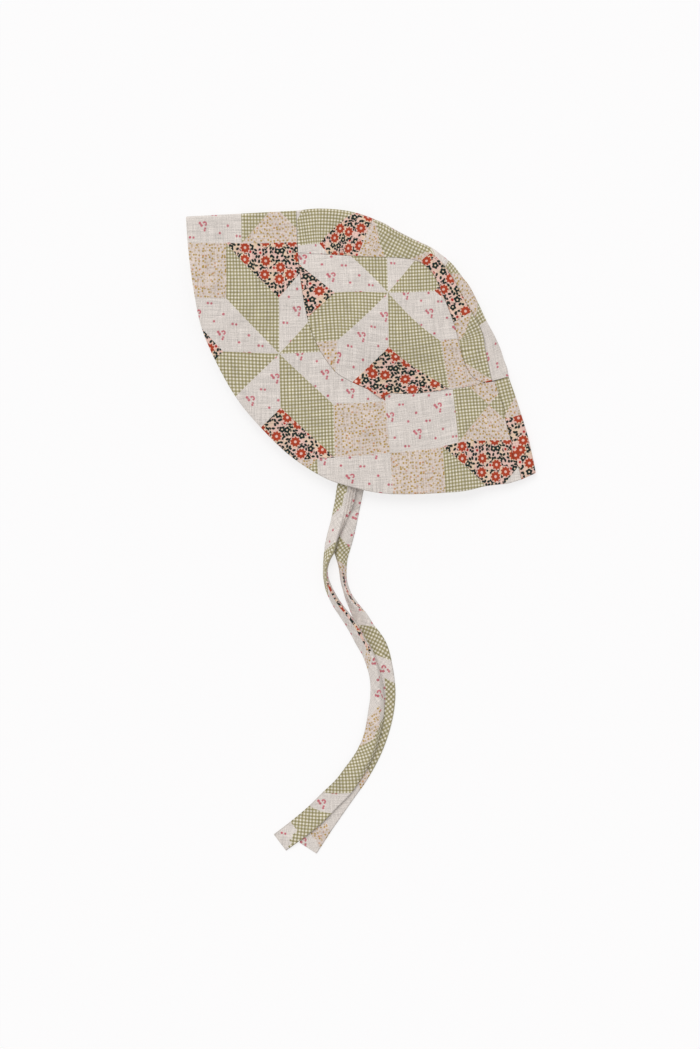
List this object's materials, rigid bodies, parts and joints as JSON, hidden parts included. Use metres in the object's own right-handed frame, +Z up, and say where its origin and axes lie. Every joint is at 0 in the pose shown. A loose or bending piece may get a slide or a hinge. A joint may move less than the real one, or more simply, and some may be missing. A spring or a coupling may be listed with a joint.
{
  "type": "sun hat",
  "caption": "Small child's cotton sun hat with a patchwork print, lying folded flat on its side, with a doubled brim, a crown joined by a centre strip, and cloth ties for under the chin.",
  "frame": {"origin": "centre of the flat hat's underside, on the surface that it lies on, without its ties", "axes": "+X from the front brim tip to the back one, +Y from the mouth to the crown, +Z up"},
  "size_m": [0.3138, 0.3687, 0.0163],
  "materials": {
    "crown_cotton": null,
    "brim_cotton": "the same printed cotton, doubled and pressed flat",
    "tie_cotton": "the same printed cotton cut on the bias, folded lengthwise and stitched"
  },
  "bodies": {
    "root": {"crown_strip": "crown_cotton", "side_panel_upper": "crown_cotton", "side_panel_lower": "crown_cotton", "brim": "brim_cotton", "tie_upper": "tie_cotton", "tie_lower": "tie_cotton"}
  },
  "joints": []
}
